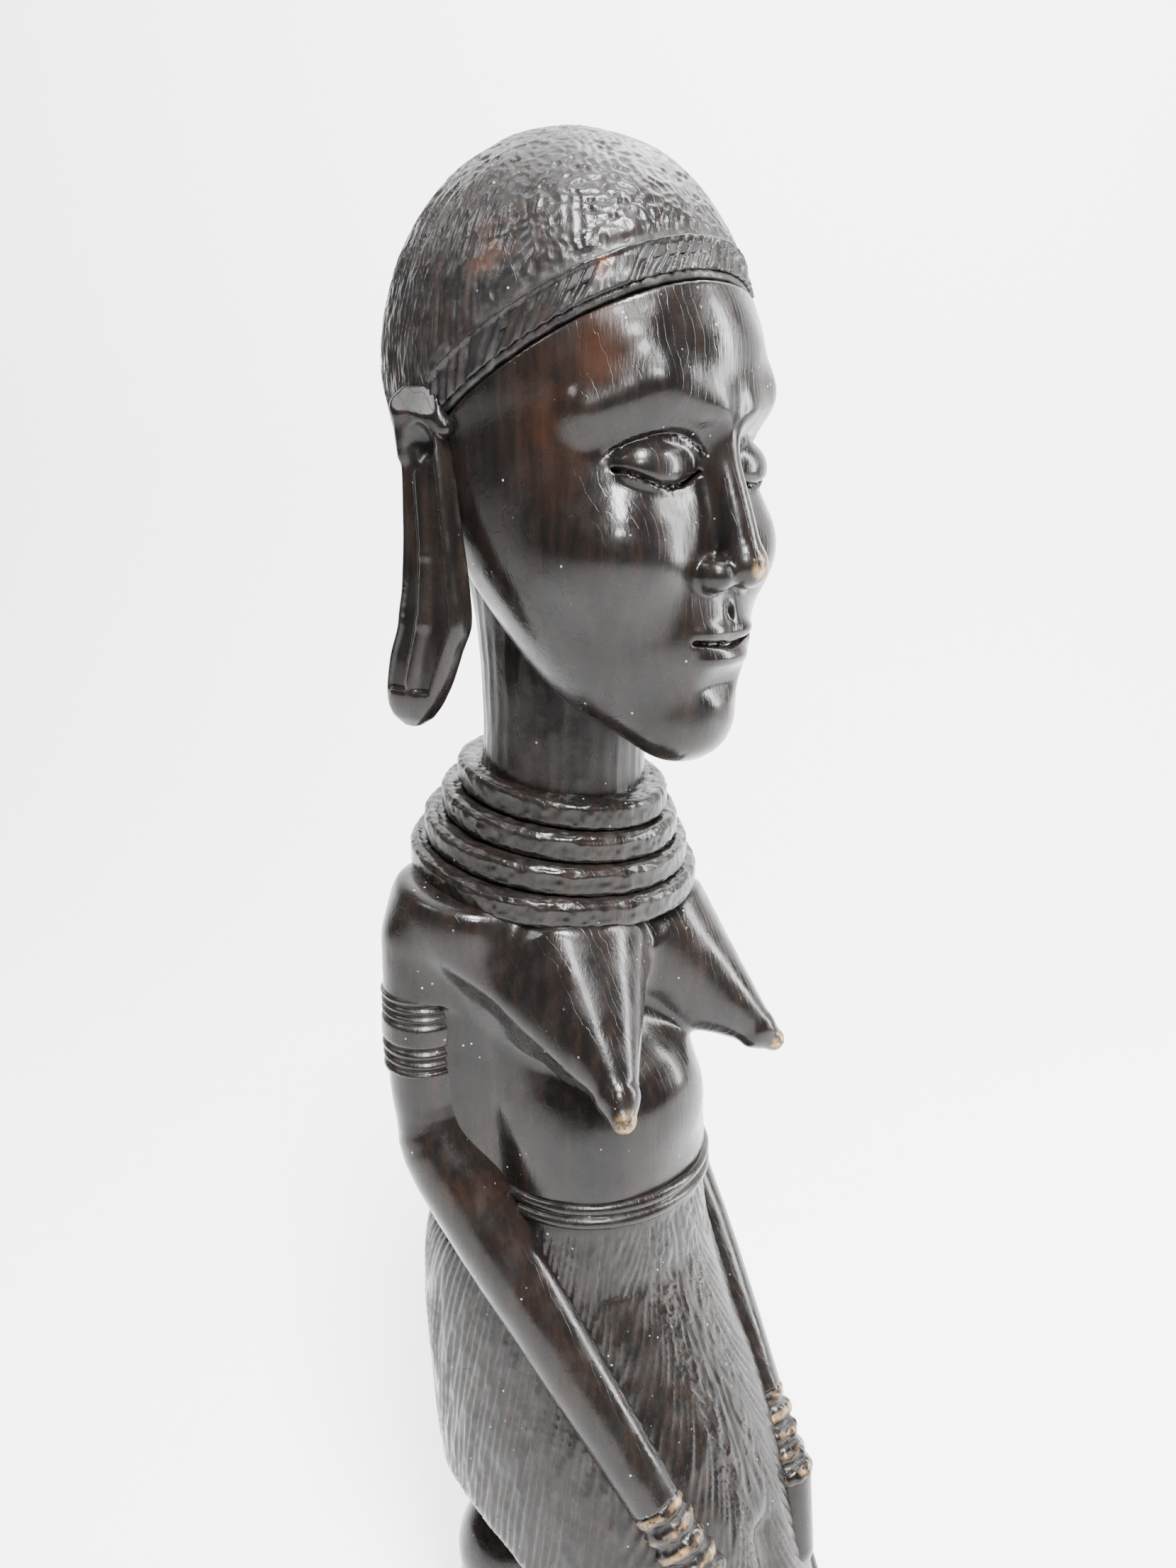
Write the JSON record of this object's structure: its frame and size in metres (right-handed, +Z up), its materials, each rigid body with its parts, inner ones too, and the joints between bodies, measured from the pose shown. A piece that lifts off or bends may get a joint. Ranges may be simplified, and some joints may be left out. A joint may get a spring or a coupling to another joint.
{
  "type": "carved figure",
  "caption": "kneeling carved wooden figure with cap of hair, headband, long ear lobes, ringed neck, bent arms with bracelets, belt and carved wrap skirt",
  "frame": {"origin": "centre of the bounding box on the plane the figure rests on", "axes": "+Z up, -Y the way the figure faces, +X the figure's left side"},
  "size_m": [0.064, 0.0824, 0.3],
  "materials": {
    "dark_wood": "oiled and rubbed dark hardwood, glossy on the smooth parts"
  },
  "bodies": {
    "root": {"arm_left": "dark_wood", "arm_right": "dark_wood", "armlet_left": "dark_wood", "armlet_right": "dark_wood", "bracelets_left": "dark_wood", "bracelets_right": "dark_wood", "ear_left": "dark_wood", "ear_right": "dark_wood", "foot_left": "dark_wood", "foot_right": "dark_wood", "hair_cap": "dark_wood", "hand_left": "dark_wood", "hand_right": "dark_wood", "head": "dark_wood", "headband": "dark_wood", "lower_leg_left": "dark_wood", "lower_leg_right": "dark_wood", "neck": "dark_wood", "necklace_ring_1": "dark_wood", "necklace_ring_2": "dark_wood", "necklace_ring_3": "dark_wood", "necklace_ring_4": "dark_wood", "skirt": "dark_wood", "torso": "dark_wood", "waist_belt": "dark_wood"}
  },
  "joints": []
}
